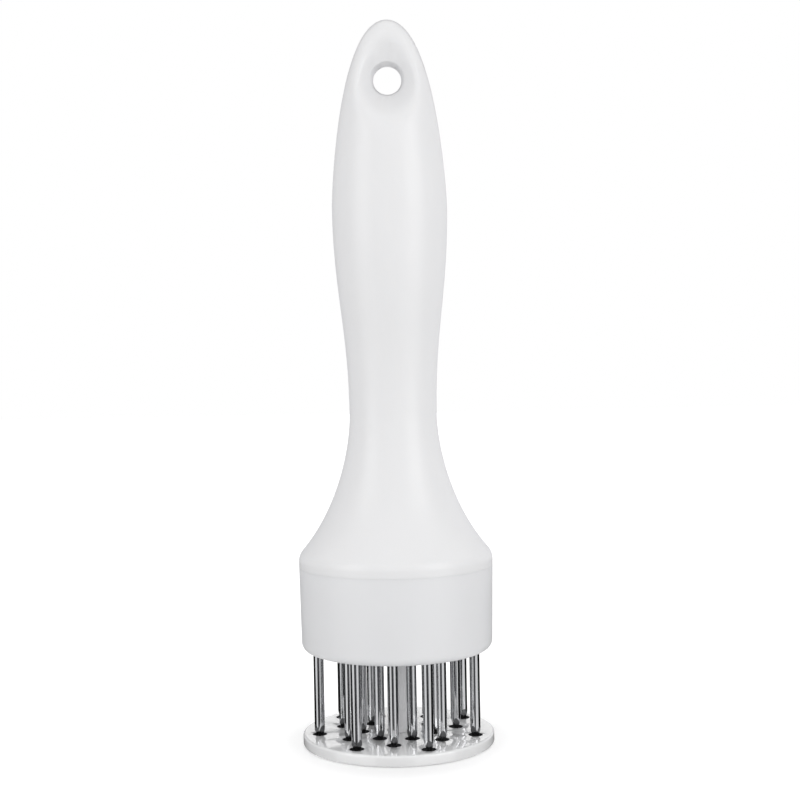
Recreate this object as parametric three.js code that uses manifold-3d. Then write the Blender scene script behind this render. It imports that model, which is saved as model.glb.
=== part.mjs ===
// A hand-held meat tenderizer, standing on its guard plate.
// The origin is the middle of the guard's underside, on the table, and +Z runs up the handle.
// Lengths are millimetres, and angles are degrees until they are used.
import * as THREE from 'three';
import { mergeVertices } from 'three/addons/utils/BufferGeometryUtils.js';
import Module from 'manifold-3d';

const wasm = await Module();
wasm.setup();

// Overall size
const overallHeight = 195;

// Guard plate, the clear disc that the tool stands on, a little smaller than the head
const guardInset = 0.25;
const guardThickness = 3;
const guardEdgeRound = 0.6;

// Head cup, from its underside up to the seam
const bareNeedleLength = 22.6;
const headRadius = 26.25;
const headHeight = 23.1;
const headDraft = 0.4;
const headBottomRound = 2.4;
const floorThickness = 3;
const cupWall = 2.45;
const seamChamfer = 0.35;

// Handle, from the seam up to its tip. The tip is what lies above the thickest place of the grip.
const shoulderBand = 1.6;
const shoulderRound = 4;
const flareAngle = 40.5;
const neckHeight = 89.7;
const neckRadius = 11.8;
const tipLength = 50.2;
const gripRadius = 15.5;
const hangingHoleDrop = 16.2;
const hangingHoleRadius = 3.8;
const hangingHoleFlare = 16;
const hangingHoleSweep = 80;

// How far each curve of the handle runs straight on before it bends, as shares of its own height or width
const domeWidthShare = 0.84;
const domeSideShare = 0.093;
const gripLowerShare = 0.407;
const neckUpperShare = 0.423;
const neckLowerShare = 0.249;
const flareShare = 0.42;

// Inside of the handle. The drops are measured down from the neck, and from the hanging hole.
const skirtWall = 2.2;
const springBoreRadius = 8.2;
const springTubeWall = 1.8;
const springTubeLift = 1;
const springLedgeDrop = 7.7;
const cavityLift = 1.5;
const cavityTopDrop = 17.7;
const coreRadius = 6.4;
const coreTopRadius = 5.6;
const coreTopDrop = 20.8;
const coreEndTaper = 3;

// Thread between the handle's skirt and the cup
const threadPitch = 4;
const threadDepth = 0.8;
const threadRootWidth = 2;
const threadCrestWidth = 1;
const threadRise = 4.5;
const threadTurns = 1.25;
const threadSink = 0.4;

// Needles and the plate that holds them down
const needleRadius = 1.375;
const needleTipHeight = 0.5;
const needleTipAngle = 15;
const needleHeadLip = 0.525;
const needleHeadHeight = 1.4;
const ringSpacing = 5.8;
const needlesPerRing = 7;
const innerRingTurn = 34;
const plateThickness = 2;

// Post, washers and screws of the guard
const postRadius = 3;
const postSocketFloor = 2;
const postEdgeRound = 0.3;
const screwRadius = 1.4;
const screwLength = 11;
const screwTipLength = 1.2;
const screwBoreSpare = 1;
const countersunkHeadRadius = 2.8;
const countersunkDepth = 1.4;
const countersunkRecess = 0.2;
const panHeadRadius = 2.8;
const panHeadHeight = 1.9;
const panHeadRound = 0.6;
const driveSlotWidth = 0.6;
const driveSlotLength = 2.8;
const driveSlotDepth = 0.8;
const stopWasherThickness = 1.2;
const seatWasherThickness = 1;
const seatWasherBore = 5.5;

// Spring
const wireRadius = 0.6;
const springTurns = 11;
const springEndPitch = 1.9;

// Clearances
const seatGap = 0.3;
const cupFit = 0.3;
const needleFit = 0.3;
const needleHeadFit = 0.3;
const guardHoleFit = 0.475;
const postFit = 0.4;
const screwFit = 0.25;
const washerFit = 0.4;
const springFit = 0.5;
const threadFit = 0.3;
const cutOverrun = 1;

// Counts of flat sides round each kind of piece
const bodySides = 40;
const needleSides = 12;
const smallSides = 20;
const pointSides = 4;
const springSteps = 8;
const wireSides = 5;

// Counts of steps along each curve and arc
const domeSteps = 12;
const waistSteps = 7;
const flareSteps = 8;
const shoulderSteps = 3;
const cupRoundSteps = 4;
const guardRoundSteps = 2;
const hangingHoleSteps = 16;

// Heights that follow from the sizes above
const headBottom = guardThickness + bareNeedleLength;
const seamHeight = headBottom + headHeight;
const floorTop = headBottom + floorThickness;
const needleHeadBottom = floorTop + seatGap;
const plateBottom = needleHeadBottom + needleHeadHeight + seatGap;
const plateTop = plateBottom + plateThickness;
const skirtBottom = plateTop + seatGap;
const stopWasherBottom = plateTop + seatGap;
const stopWasherTop = stopWasherBottom + stopWasherThickness;
const springBottom = stopWasherTop + seatGap;
const springLedgeHeight = neckHeight - springLedgeDrop;
const seatWasherTop = springLedgeHeight - seatGap;
const springTop = seatWasherTop - seatWasherThickness - seatGap;
const postBottom = postSocketFloor + seatGap;
const postTop = stopWasherBottom - seatGap;
const cavityTopHeight = neckHeight - cavityTopDrop;
const gripHeight = overallHeight - tipLength;
const hangingHoleHeight = overallHeight - hangingHoleDrop;
const coreTopHeight = hangingHoleHeight - coreTopDrop;

// Radii that follow from the sizes above
const guardRadius = headRadius - guardInset;
const cupBoreRadius = headRadius - cupWall;
const skirtRadius = cupBoreRadius - cupFit;
const skirtBore = skirtRadius - skirtWall;
const springTubeRadius = springBoreRadius + springTubeWall;
const springOuterRadius = springBoreRadius - springFit;
const springMeanRadius = springOuterRadius - wireRadius;
const washerRadius = springBoreRadius - washerFit;
const postHoleRadius = postRadius + postFit;
const screwBoreRadius = screwRadius + screwFit;
const needleHoleRadius = needleRadius + needleFit;
const guardHoleRadius = needleRadius + guardHoleFit;
const needleHeadRadius = needleRadius + needleHeadLip;
const outerRingRadius = cupBoreRadius - needleHeadFit - needleHeadRadius;
const middleRingRadius = outerRingRadius - ringSpacing;
const innerRingRadius = middleRingRadius - ringSpacing;

const radians = THREE.MathUtils.degToRad;
const fullTurn = 2 * Math.PI;

// A closed triangle mesh becomes a solid: its shared corners are merged, and its faces are turned outwards.
function solidOf(geometry) {
  const bare = new THREE.BufferGeometry();
  bare.setAttribute('position', geometry.getAttribute('position'));
  bare.setIndex(geometry.getIndex());
  const merged = mergeVertices(bare);
  const points = merged.getAttribute('position').array;
  const index = merged.getIndex().array;
  const kept = [];
  let volume = 0;
  for (let i = 0; i < index.length; i += 3) {
    const [a, b, c] = [index[i], index[i + 1], index[i + 2]];
    if (a === b || b === c || c === a) continue;
    kept.push(a, b, c);
    const pa = new THREE.Vector3().fromArray(points, 3 * a);
    const pb = new THREE.Vector3().fromArray(points, 3 * b);
    const pc = new THREE.Vector3().fromArray(points, 3 * c);
    volume += pa.dot(pb.cross(pc));
  }
  if (volume < 0) kept.reverse();
  return new wasm.Manifold(new wasm.Mesh({
    numProp: 3,
    vertProperties: Float32Array.from(points),
    triVerts: Uint32Array.from(kept),
  }));
}

// A solid becomes a geometry again, for its mesh.
function geometryOf(solid) {
  const cut = solid.getMesh();
  const geometry = new THREE.BufferGeometry();
  geometry.setAttribute('position', new THREE.BufferAttribute(Float32Array.from(cut.vertProperties), 3));
  geometry.setIndex(new THREE.BufferAttribute(Uint32Array.from(cut.triVerts), 1));
  geometry.computeVertexNormals();
  return geometry;
}

// An outline of [radius, height] points is turned round the Z axis.
function turned(outline, sides) {
  const points = outline.map(([radius, height]) => new THREE.Vector2(radius, height));
  return solidOf(new THREE.LatheGeometry(points, sides).rotateX(Math.PI / 2));
}

// A plain round cutter or ring, between two heights.
function round(radius, bottom, top, sides) {
  return turned([[0, bottom], [radius, bottom], [radius, top], [0, top]], sides);
}

function ring(radius, bore, bottom, top, sides) {
  return turned([[bore, bottom], [radius, bottom], [radius, top], [bore, top], [bore, bottom]], sides);
}

// Points of a quarter round or another arc, as [radius, height], from one angle to another.
function arc(centreRadius, centreHeight, arcRadius, fromAngle, toAngle, steps) {
  const points = [];
  for (let i = 0; i <= steps; i += 1) {
    const angle = radians(fromAngle + (toAngle - fromAngle) * i / steps);
    points.push([centreRadius + arcRadius * Math.cos(angle), centreHeight + arcRadius * Math.sin(angle)]);
  }
  return points;
}

// Points of a cubic curve through four control points, without its first point.
function curve(start, startPull, endPull, end, steps) {
  const corners = [start, startPull, endPull, end].map(([radius, height]) => new THREE.Vector2(radius, height));
  return new THREE.CubicBezierCurve(...corners).getPoints(steps).slice(1).map((point) => [point.x, point.y]);
}

// The places of the needles: three rings, each turned half a pitch from the one inside it.
function needlePlaces() {
  const pitch = 360 / needlesPerRing;
  const places = [];
  [innerRingRadius, middleRingRadius, outerRingRadius].forEach((radius, ringIndex) => {
    for (let i = 0; i < needlesPerRing; i += 1) {
      const angle = radians(innerRingTurn - ringIndex * pitch / 2 + i * pitch);
      places.push([radius * Math.cos(angle), radius * Math.sin(angle)]);
    }
  });
  return places;
}

// A cutter with one round bar at each needle.
function needleBars(radius, bottom, top) {
  const bar = round(radius, bottom, top, needleSides);
  return wasm.Manifold.union(needlePlaces().map(([x, y]) => bar.translate([x, y, 0])));
}

// The outside of the handle, from its tip down to the seam.
function handleOutline() {
  const dome = overallHeight - gripHeight;
  const waist = gripHeight - neckHeight;
  const slope = radians(flareAngle);
  const bandTop = seamHeight + shoulderBand;
  const roundCentre = headRadius - shoulderRound;
  const flareEnd = [roundCentre + shoulderRound * Math.cos(slope), bandTop + shoulderRound * Math.sin(slope)];
  const flare = neckHeight - flareEnd[1];
  const flarePull = [
    flareEnd[0] - flareShare * flare * Math.sin(slope),
    flareEnd[1] + flareShare * flare * Math.cos(slope),
  ];
  const grip = [gripRadius, gripHeight];
  const neck = [neckRadius, neckHeight];
  return [
    [0, overallHeight],
    ...curve([0, overallHeight], [domeWidthShare * gripRadius, overallHeight],
      [gripRadius, gripHeight + domeSideShare * dome], grip, domeSteps),
    ...curve(grip, [gripRadius, gripHeight - gripLowerShare * waist],
      [neckRadius, neckHeight + neckUpperShare * waist], neck, waistSteps),
    ...curve(neck, [neckRadius, neckHeight - neckLowerShare * flare], flarePull, flareEnd, flareSteps),
    ...arc(roundCentre, bandTop, shoulderRound, flareAngle, 0, shoulderSteps).slice(1),
    [headRadius, seamHeight + seamChamfer],
    [headRadius - seamChamfer, seamHeight],
  ];
}

// The inside of the handle: the skirt that enters the cup, the cavity of the flare, the spring's tube and the core.
function handleInside() {
  const tubeBottom = skirtBottom + springTubeLift;
  return [
    [skirtRadius, seamHeight],
    [skirtRadius, skirtBottom],
    [skirtBore, skirtBottom],
    [skirtBore, seamHeight + cavityLift],
    [springTubeRadius, cavityTopHeight],
    [springTubeRadius, tubeBottom],
    [springBoreRadius, tubeBottom],
    [springBoreRadius, springLedgeHeight],
    [coreRadius, springLedgeHeight],
    [coreTopRadius, coreTopHeight - coreEndTaper],
    [0, coreTopHeight],
  ];
}

// The hanging hole is narrow in the middle and flares out to both faces like an hourglass. It runs along Y.
function hangingHoleCutter() {
  const reach = hangingHoleFlare * Math.sin(radians(hangingHoleSweep));
  const middle = hangingHoleRadius + hangingHoleFlare;
  const [from, to] = [180 + hangingHoleSweep, 180 - hangingHoleSweep];
  const outline = [
    [0, -reach],
    ...arc(middle, 0, hangingHoleFlare, from, to, hangingHoleSteps),
    [0, reach],
  ];
  return turned(outline, smallSides).rotate([90, 0, 0]).translate([0, 0, hangingHoleHeight]);
}

// A tube along a path: its points come ring by ring, with as many in each ring, and its two ends are closed.
function tubeOf(points, sides) {
  const last = points.length / 3 - sides;
  const index = [];
  for (let i = 0; i < last; i += sides) {
    for (let k = 0; k < sides; k += 1) {
      const [a, b] = [i + k, i + (k + 1) % sides];
      index.push(a, b, b + sides, a, b + sides, a + sides);
    }
  }
  for (let k = 1; k < sides - 1; k += 1) {
    index.push(0, k + 1, k, last, last + k, last + k + 1);
  }
  const geometry = new THREE.BufferGeometry();
  geometry.setAttribute('position', new THREE.BufferAttribute(new Float32Array(points), 3));
  geometry.setIndex(index);
  return solidOf(geometry);
}

// A helical bar round the Z axis. Its cross-section is wide at the inner radius and narrow at the outer one.
function helicalBar(innerRadius, outerRadius, innerWidth, outerWidth, startHeight, extraSteps) {
  const steps = Math.round(threadTurns * bodySides);
  const points = [];
  for (let i = -extraSteps; i <= steps + extraSteps; i += 1) {
    const angle = fullTurn * i / bodySides;
    const middle = startHeight + threadPitch * i / bodySides;
    const section = [
      [innerRadius, -innerWidth / 2],
      [outerRadius, -outerWidth / 2],
      [outerRadius, outerWidth / 2],
      [innerRadius, innerWidth / 2],
    ];
    for (const [radius, rise] of section) {
      points.push(radius * Math.cos(angle), radius * Math.sin(angle), middle + rise);
    }
  }
  return tubeOf(points, 4);
}

function handleSolid() {
  const body = turned([...handleOutline(), ...handleInside()], bodySides);
  const ridge = helicalBar(skirtRadius - threadSink, skirtRadius + threadDepth,
    threadRootWidth, threadCrestWidth, skirtBottom + threadRise, 0);
  return body.add(ridge).subtract(hangingHoleCutter());
}

// The cup: a floor with the needles' holes, and a wall that takes the handle's thread.
function headCupSolid() {
  const bottomRadius = headRadius - headDraft;
  const roundCentre = bottomRadius - headBottomRound;
  const rim = seamHeight - seatGap;
  const wall = turned([
    [0, headBottom],
    ...arc(roundCentre, headBottom + headBottomRound, headBottomRound, -90, 0, cupRoundSteps),
    [headRadius, rim - seamChamfer],
    [headRadius - seamChamfer, rim],
    [cupBoreRadius, rim],
    [cupBoreRadius, floorTop],
    [0, floorTop],
  ], bodySides);
  const groove = helicalBar(cupBoreRadius - cutOverrun, skirtRadius + threadDepth + threadFit,
    threadRootWidth + 2 * threadFit, threadCrestWidth + 2 * threadFit, skirtBottom + threadRise, 1);
  const postHole = round(postHoleRadius, headBottom - cutOverrun, floorTop + cutOverrun, smallSides);
  const needleHoles = needleBars(needleHoleRadius, headBottom - cutOverrun, floorTop + cutOverrun);
  return wall.subtract(groove).subtract(postHole).subtract(needleHoles);
}

function needlePlateSolid() {
  return ring(cupBoreRadius - cupFit, postHoleRadius, plateBottom, plateTop, bodySides);
}

// One needle round its own axis: a nail with a flat head, ground to a point with four flats.
function needleSolid() {
  const nail = turned([
    [0, needleTipHeight],
    [needleRadius, needleTipHeight],
    [needleRadius, needleHeadBottom],
    [needleHeadRadius, needleHeadBottom],
    [needleHeadRadius, needleHeadBottom + needleHeadHeight],
    [0, needleHeadBottom + needleHeadHeight],
  ], needleSides);
  const coneHeight = needleHeadBottom + needleHeadHeight + cutOverrun - needleTipHeight;
  const coneRadius = Math.SQRT2 * coneHeight * Math.tan(radians(needleTipAngle));
  const grinding = turned([
    [0, needleTipHeight],
    [coneRadius, needleTipHeight + coneHeight],
    [0, needleTipHeight + coneHeight],
  ], pointSides);
  return nail.intersect(grinding.rotate([0, 0, 45]));
}

// The guard plate, with a hole for each needle, a socket for the post and a countersink below.
function guardDiscSolid() {
  const inner = guardRadius - guardEdgeRound;
  const disc = turned([
    [0, 0],
    ...arc(inner, guardEdgeRound, guardEdgeRound, -90, 0, guardRoundSteps),
    ...arc(inner, guardThickness - guardEdgeRound, guardEdgeRound, 0, 90, guardRoundSteps),
    [0, guardThickness],
  ], bodySides);
  const countersinkRadius = countersunkHeadRadius + screwFit;
  const socketRadius = postRadius + screwFit;
  const centre = turned([
    [0, -cutOverrun],
    [countersinkRadius, -cutOverrun],
    [countersinkRadius, countersunkRecess],
    [screwBoreRadius, countersunkRecess + countersunkDepth],
    [screwBoreRadius, postSocketFloor],
    [socketRadius, postSocketFloor],
    [socketRadius, guardThickness + cutOverrun],
    [0, guardThickness + cutOverrun],
  ], smallSides);
  const needleHoles = needleBars(guardHoleRadius, -cutOverrun, guardThickness + cutOverrun);
  return disc.subtract(centre).subtract(needleHoles);
}

// The post, with a screw's bore in each end.
function guardPostSolid() {
  const edge = postRadius - postEdgeRound;
  const post = turned([
    [0, postBottom],
    [edge, postBottom],
    [postRadius, postBottom + postEdgeRound],
    [postRadius, postTop - postEdgeRound],
    [edge, postTop],
    [0, postTop],
  ], smallSides);
  const boreLength = screwLength + screwBoreSpare;
  const lowerBore = round(screwBoreRadius, postBottom - cutOverrun, postBottom + boreLength, needleSides);
  const upperBore = round(screwBoreRadius, postTop - boreLength, postTop + cutOverrun, needleSides);
  return post.subtract(lowerBore).subtract(upperBore);
}

// A cross recess for a screwdriver, cut down from height 0.
function driveRecess() {
  const slot = new THREE.BoxGeometry(driveSlotLength, driveSlotWidth, 2 * driveSlotDepth);
  const bar = solidOf(slot);
  return bar.add(bar.rotate([0, 0, 90]));
}

// The countersunk screw, with its head down: the head's face lies just inside the guard's underside.
function guardScrewSolid() {
  const end = postBottom + screwLength;
  const screw = turned([
    [0, countersunkRecess],
    [countersunkHeadRadius, countersunkRecess],
    [screwRadius, countersunkRecess + countersunkDepth],
    [screwRadius, end - screwTipLength],
    [0, end],
  ], needleSides);
  return screw.subtract(driveRecess().translate([0, 0, countersunkRecess]));
}

function stopWasherSolid() {
  return ring(washerRadius, screwBoreRadius, stopWasherBottom, stopWasherTop, smallSides);
}

// The pan-headed screw on the post's top end.
function stopScrewSolid() {
  const headBottomHeight = stopWasherTop + seatGap;
  const headTop = headBottomHeight + panHeadHeight;
  const end = postTop - screwLength + stopWasherThickness;
  const screw = turned([
    [0, end],
    [screwRadius, end + screwTipLength],
    [screwRadius, headBottomHeight],
    [panHeadRadius, headBottomHeight],
    [panHeadRadius, headTop - panHeadRound],
    [panHeadRadius - panHeadRound, headTop],
    [0, headTop],
  ], needleSides);
  return screw.subtract(driveRecess().translate([0, 0, headTop]));
}

function springSeatWasherSolid() {
  return ring(washerRadius, seatWasherBore, seatWasherTop - seatWasherThickness, seatWasherTop, smallSides);
}

// The middle line of the spring's wire at a number of turns from its lower end. The end turns lie closer.
function springPoint(turns) {
  const length = springTop - springBottom - 2 * wireRadius;
  const openPitch = (length - 2 * springEndPitch) / (springTurns - 2);
  const openTurns = Math.min(Math.max(turns - 1, 0), springTurns - 2);
  const height = springEndPitch * (turns - openTurns) + openPitch * openTurns;
  const angle = fullTurn * turns;
  const middle = springBottom + wireRadius + height;
  return new THREE.Vector3(springMeanRadius * Math.cos(angle), springMeanRadius * Math.sin(angle), middle);
}

// The spring is one tube: a ring of points at each step of the helix, square to the wire.
function springSolid() {
  const steps = springTurns * springSteps;
  const points = [];
  for (let i = 0; i <= steps; i += 1) {
    const centre = springPoint(i / springSteps);
    const outward = new THREE.Vector3(centre.x, centre.y, 0).normalize();
    const up = new THREE.Vector3(0, 0, 1);
    for (let k = 0; k < wireSides; k += 1) {
      const angle = fullTurn * k / wireSides;
      const point = centre.clone()
        .addScaledVector(outward, wireRadius * Math.cos(angle))
        .addScaledVector(up, wireRadius * Math.sin(angle));
      points.push(point.x, point.y, point.z);
    }
  }
  return tubeOf(points, wireSides);
}

// The least gap between neighbouring turns of the wire, measured from point to point.
function springLeastGap() {
  let least = Infinity;
  for (let i = 0; i <= springTurns * springSteps; i += 1) {
    for (let k = i + springSteps / 2; k <= springTurns * springSteps; k += 1) {
      const distance = springPoint(i / springSteps).distanceTo(springPoint(k / springSteps));
      least = Math.min(least, distance - 2 * wireRadius);
    }
  }
  return least;
}

// Materials
const whitePlastic = { color: 0xe9e9eb, roughness: 0.32, metalness: 0 };
const clearPlastic = { color: 0xf1f3f4, roughness: 0.12, metalness: 0 };
const greyPlastic = { color: 0xd9dbdc, roughness: 0.45, metalness: 0 };
const needleSteel = { color: 0xc4c7cb, roughness: 0.16, metalness: 1 };
const plainSteel = { color: 0xaeb2b6, roughness: 0.35, metalness: 1 };

const group = new THREE.Group();

function addPiece(name, geometry, look) {
  const mesh = new THREE.Mesh(geometry, new THREE.MeshStandardMaterial(look));
  mesh.name = name;
  group.add(mesh);
  return mesh;
}

// The handle and what is fixed to it
addPiece('handle', geometryOf(handleSolid()), whitePlastic);
addPiece('head_cup', geometryOf(headCupSolid()), whitePlastic);
addPiece('needle_plate', geometryOf(needlePlateSolid()), plainSteel);
addPiece('spring_seat_washer', geometryOf(springSeatWasherSolid()), plainSteel);
addPiece('spring', geometryOf(springSolid()), plainSteel);

// How far each needle happens to be turned in its hole, in degrees: the inner ring, the middle and the outer
const needleTwists = [
  12, 40, 25, 8, 15, 33, 70,
  3, 52, 28, 75, 36, 6, 10,
  60, 18, 47, 22, 41, 44, 5,
];
const needleGeometry = geometryOf(needleSolid());
needlePlaces().forEach(([x, y], i) => {
  const needle = addPiece(`needle_${String(i + 1).padStart(2, '0')}`, needleGeometry, needleSteel);
  needle.position.set(x, y, 0);
  needle.rotation.z = radians(needleTwists[i % needleTwists.length]);
});

// The guard, which slides
addPiece('guard_disc', geometryOf(guardDiscSolid()), clearPlastic);
addPiece('guard_post', geometryOf(guardPostSolid()), greyPlastic);
addPiece('guard_screw', geometryOf(guardScrewSolid()), plainSteel);
addPiece('stop_washer', geometryOf(stopWasherSolid()), plainSteel);
addPiece('stop_screw', geometryOf(stopScrewSolid()), plainSteel);

console.log(`least gap in the spring: ${springLeastGap().toFixed(2)} mm`);

export default group;
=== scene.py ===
# %% [markdown]
# # A needle meat tenderizer
# This is a push tool from a kitchen drawer. A white moulded handle ends in a cup full of steel needles. A
# clear guard plate sits over their points, and a spring in the handle pushes it out. The hand presses the
# handle down, the guard stays on the meat, and the needles go through its holes.
#
# The working model is made already: real sizes, real clearances, and the sliding joint. Here each piece
# gets its fine surface and its finish. Nothing is moved, so every new piece is modelled exactly where its
# solid is.

# %% Load the working model
import math

import bmesh
import bpy
from mathutils import Euler, Matrix, Vector


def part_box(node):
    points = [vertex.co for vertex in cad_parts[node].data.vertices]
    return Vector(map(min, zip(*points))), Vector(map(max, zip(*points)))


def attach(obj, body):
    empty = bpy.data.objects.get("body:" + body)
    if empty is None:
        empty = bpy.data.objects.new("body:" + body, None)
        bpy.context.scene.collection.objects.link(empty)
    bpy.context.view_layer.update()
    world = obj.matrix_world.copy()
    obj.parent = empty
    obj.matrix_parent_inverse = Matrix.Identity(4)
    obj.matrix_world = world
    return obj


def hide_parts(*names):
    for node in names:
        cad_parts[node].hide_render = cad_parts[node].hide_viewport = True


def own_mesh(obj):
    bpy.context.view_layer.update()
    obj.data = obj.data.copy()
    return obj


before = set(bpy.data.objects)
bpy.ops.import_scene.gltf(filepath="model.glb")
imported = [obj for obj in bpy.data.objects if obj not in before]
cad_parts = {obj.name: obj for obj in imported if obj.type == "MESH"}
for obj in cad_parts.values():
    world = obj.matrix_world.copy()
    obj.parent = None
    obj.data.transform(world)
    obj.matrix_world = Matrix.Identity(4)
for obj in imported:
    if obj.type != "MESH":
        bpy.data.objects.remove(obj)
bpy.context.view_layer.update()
MM = 0.001

# %% [markdown]
# ## The camera
# The tool stands upright on its guard plate, and the photographer looks at it from a little over the
# middle. A long lens keeps the sides nearly parallel. The camera looks down by two degrees, and it leans by
# one, so that the tool seems to tip to the left. These values were found by matching the outline, the plate
# and the needles' holes.

# %% Place the camera
CAMERA_PLACE = (1.9 * MM, -395 * MM, 107.1 * MM)
CAMERA_LOOKS_DOWN = 2.14
CAMERA_LEANS = -1.02
LENS_LENGTH = 65.7
FRAME_SHIFT = 0.0031

bpy.ops.object.select_all(action="DESELECT")
bpy.ops.object.camera_add(location=CAMERA_PLACE)
camera = bpy.context.object
camera.name = "photo_camera"
level = Euler((math.radians(90 - CAMERA_LOOKS_DOWN), 0, 0)).to_matrix()
lean = Matrix.Rotation(math.radians(CAMERA_LEANS), 3, "Z")
camera.rotation_euler = (level @ lean).to_euler()
camera.data.lens = LENS_LENGTH
camera.data.shift_y = FRAME_SHIFT
bpy.context.scene.camera = camera
print(f"lens {camera.data.lens:.1f} mm, camera {-camera.location.y:.3f} m in front")

# %% [markdown]
# ## The studio
# Light, paper and finishes are all trees of shader nodes. They could be wired one line at a time. Two small
# helpers keep that short: one adds a node with its values and links, and the other starts an empty
# material.

# %% Helpers for shader nodes
def add_node(tree, kind, inputs=None, **settings):
    """Adds a node. Each input is found by name or place, and is given a value or another node's output."""
    node = tree.nodes.new(kind)
    for key, value in settings.items():
        setattr(node, key, value)
    for key, value in (inputs or {}).items():
        if isinstance(value, bpy.types.NodeSocket):
            tree.links.new(value, node.inputs[key])
        else:
            node.inputs[key].default_value = value
    return node


def empty_look(name):
    """A material with no nodes yet."""
    look = bpy.data.materials.new(name)
    look.use_nodes = True
    look.node_tree.nodes.clear()
    return look


print("two helpers for shader nodes")

# %% [markdown]
# White things on a white ground need light from everywhere, and a dark edge here and there so that they
# keep their shape. The world gives a plain even light. To the camera, to gloss and to clear plastic it
# shows pure white, which is the paper behind the tool.

# %% Light the world evenly
SKY_LIGHT = 0.82
PAPER = (1, 1, 1, 1)

world = bpy.data.worlds.new("studio_air")
bpy.context.scene.world = world
world.use_nodes = True
air = world.node_tree
air.nodes.clear()
ray = add_node(air, "ShaderNodeLightPath")
seen_or_mirrored = add_node(air, "ShaderNodeMath", {
    0: ray.outputs["Is Camera Ray"], 1: ray.outputs["Is Glossy Ray"]}, operation="MAXIMUM")
sees_paper = add_node(air, "ShaderNodeMath", {
    0: seen_or_mirrored.outputs[0], 1: ray.outputs["Is Transmission Ray"]}, operation="MAXIMUM")
light = add_node(air, "ShaderNodeBackground", {"Color": PAPER, "Strength": SKY_LIGHT})
paper = add_node(air, "ShaderNodeBackground", {"Color": PAPER, "Strength": 1})
either = add_node(air, "ShaderNodeMixShader", {
    0: sees_paper.outputs[0], 1: light.outputs[0], 2: paper.outputs[0]})
add_node(air, "ShaderNodeOutputWorld", {"Surface": either.outputs[0]})
print(f"world light {SKY_LIGHT}")

# %% [markdown]
# The floor is a sheet of white paper. It glows a little for the camera, so that it comes out as white as
# the air behind it and still takes the tool's faint real shadow. Next to the guard plate the glow is weaker,
# which also paints a soft grey shadow round the plate. The glow grows quickly away from the plate, and
# quickest to its sides, so that this painted shadow stays close round it and lies mostly in front. Clear
# plastic sees plain white there, and gloss sees the white air beyond, as if the tool stood high up in a
# white room. From below the paper is clear, so that the underside can be looked at.

# %% Lay the paper
FLOOR_SIZE = 4
FLOOR_DROP = 0.1 * MM
FLOOR_COLOUR = (0.8, 0.8, 0.8, 1)
GLOW_NEAR, GLOW_FAR = 0.18, 0.6
GLOW_START, GLOW_END = 26 * MM, 55 * MM
SIDE_QUICKNESS = 1.3

bpy.ops.object.select_all(action="DESELECT")
bpy.ops.mesh.primitive_plane_add(size=FLOOR_SIZE, location=(0, 0, -FLOOR_DROP))
floor = bpy.context.object
floor.name = "paper_floor"
floor.visible_glossy = False
white_paper = empty_look("white_paper")
sheet = white_paper.node_tree
ray = add_node(sheet, "ShaderNodeLightPath")
coordinates = add_node(sheet, "ShaderNodeTexCoord")
widened = add_node(sheet, "ShaderNodeMapping", {
    "Vector": coordinates.outputs["Object"], "Scale": (SIDE_QUICKNESS, 1, 1)})
away = add_node(sheet, "ShaderNodeVectorMath", {0: widened.outputs[0]}, operation="LENGTH")
# Painted shadow: the glow is weakest next to the plate, so the paper is painted grey round it.
painted_shadow_glow = add_node(sheet, "ShaderNodeMapRange", {
    "Value": away.outputs["Value"], "From Min": GLOW_START, "From Max": GLOW_END,
    "To Min": GLOW_NEAR, "To Max": GLOW_FAR})
seen = add_node(sheet, "ShaderNodeMath", {
    0: ray.outputs["Is Camera Ray"], 1: painted_shadow_glow.outputs[0]}, operation="MULTIPLY")
glow = add_node(sheet, "ShaderNodeEmission", {"Color": PAPER, "Strength": seen.outputs[0]})
matt = add_node(sheet, "ShaderNodeBsdfDiffuse", {"Color": FLOOR_COLOUR})
lit = add_node(sheet, "ShaderNodeAddShader", {0: matt.outputs[0], 1: glow.outputs[0]})
plain = add_node(sheet, "ShaderNodeEmission", {"Color": PAPER, "Strength": 1})
shown = add_node(sheet, "ShaderNodeMixShader", {
    0: ray.outputs["Is Transmission Ray"], 1: lit.outputs[0], 2: plain.outputs[0]})
clear = add_node(sheet, "ShaderNodeBsdfTransparent")
side = add_node(sheet, "ShaderNodeNewGeometry")
both = add_node(sheet, "ShaderNodeMixShader", {
    0: side.outputs["Backfacing"], 1: shown.outputs[0], 2: clear.outputs[0]})
add_node(sheet, "ShaderNodeOutputMaterial", {"Surface": both.outputs[0]})
floor.data.materials.append(white_paper)
print(f"floor {FLOOR_SIZE} m wide")

# %% [markdown]
# Two tall soft boxes stand in front, one on each side. Each draws a soft upright highlight on the handle
# and a bright line on every needle.

# %% Hang the soft boxes
AIM = Vector((0, 0, 100 * MM))


def soft_box(name, azimuth, elevation, distance, width, height, power):
    """Hangs a rectangular lamp that faces the tool. Azimuth 0 is the camera's side, and 90 is the right."""
    turn, rise = math.radians(azimuth), math.radians(elevation)
    towards = Vector((math.sin(turn) * math.cos(rise), -math.cos(turn) * math.cos(rise), math.sin(rise)))
    bpy.ops.object.select_all(action="DESELECT")
    bpy.ops.object.light_add(type="AREA", location=AIM + towards * distance)
    lamp = bpy.context.object
    lamp.name = name
    lamp.rotation_euler = towards.to_track_quat("Z", "Y").to_euler()
    lamp.data.shape = "RECTANGLE"
    lamp.data.size = width
    lamp.data.size_y = height
    lamp.data.energy = power
    lamp.visible_camera = False


soft_box("left_box", azimuth=-56, elevation=14, distance=1.0, width=0.5, height=0.8, power=1.85)
soft_box("right_box", azimuth=50, elevation=14, distance=1.0, width=0.55, height=0.8, power=2.6)
print("two soft boxes")

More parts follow.
